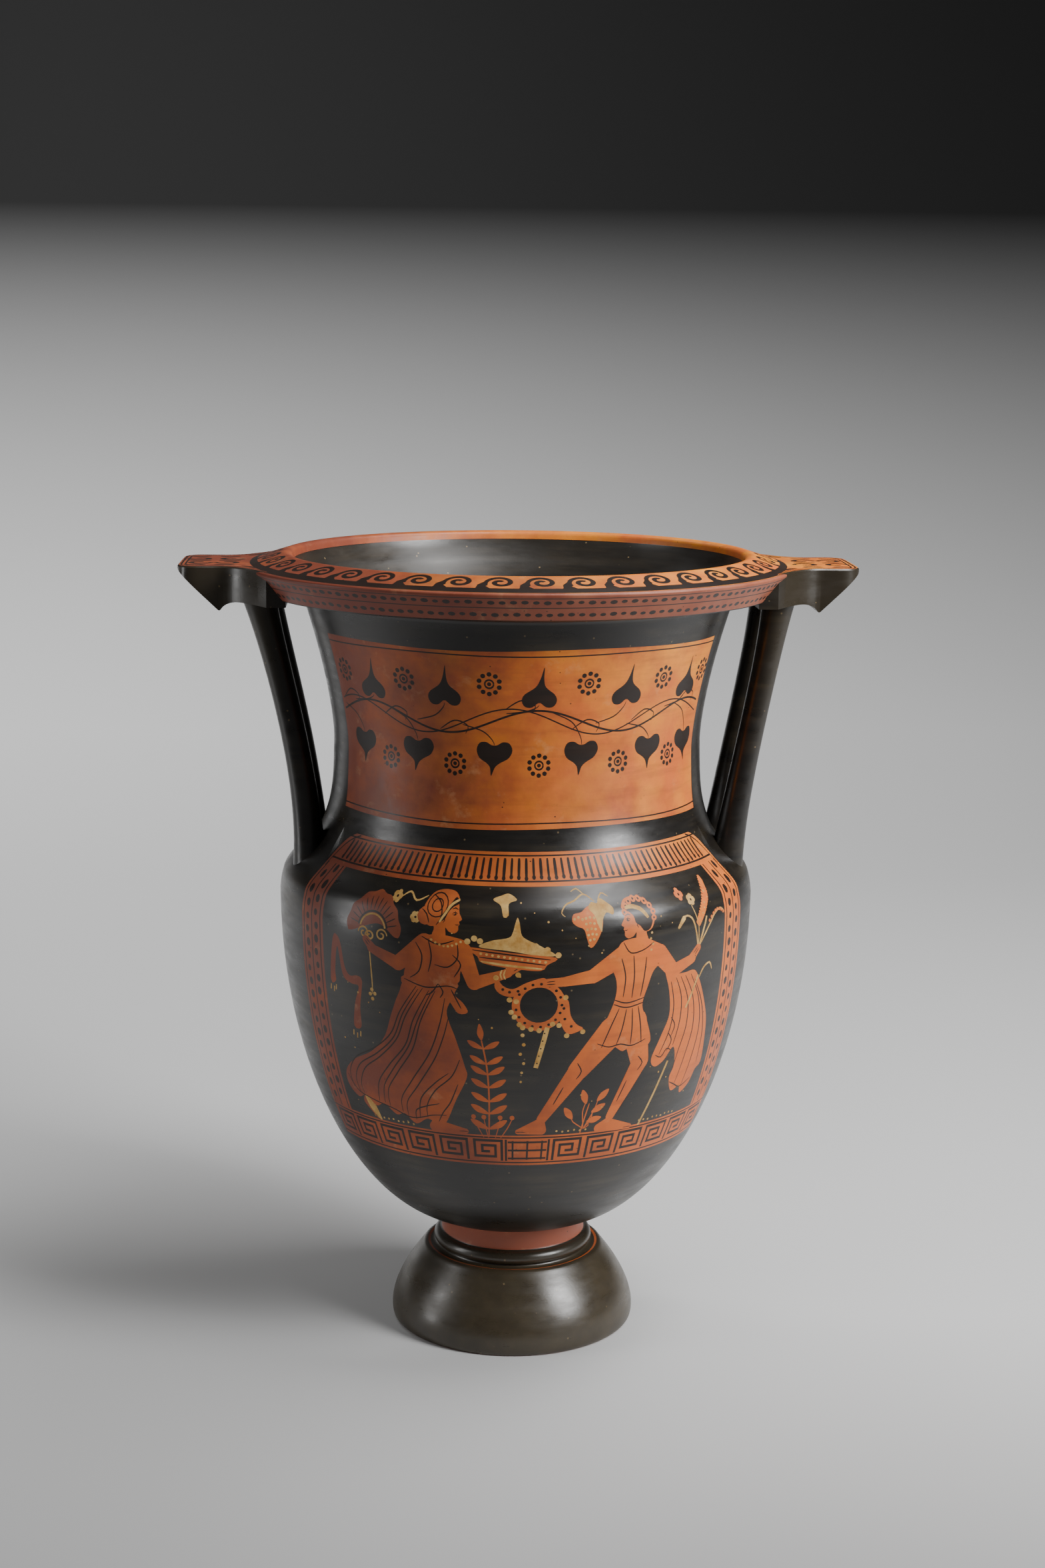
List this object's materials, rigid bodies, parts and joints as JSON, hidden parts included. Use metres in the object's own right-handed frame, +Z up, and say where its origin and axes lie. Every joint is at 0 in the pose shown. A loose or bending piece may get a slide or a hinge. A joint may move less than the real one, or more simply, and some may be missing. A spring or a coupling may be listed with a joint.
{
  "type": "column krater",
  "caption": "Wide-necked clay mixing bowl on a moulded foot, with an overhanging rim and side plates that stand on round columns.",
  "frame": {"origin": "middle of the foot's underside, on the surface the vessel stands on", "axes": "+Z up along the vessel's axis, +X and -X towards the two handles, -Y towards the painted picture"},
  "size_m": [0.4368, 0.3528, 0.52],
  "materials": {
    "painted_clay": "semi-gloss black slip over orange fired clay"
  },
  "bodies": {
    "root": {"krater": "painted_clay"}
  },
  "joints": []
}
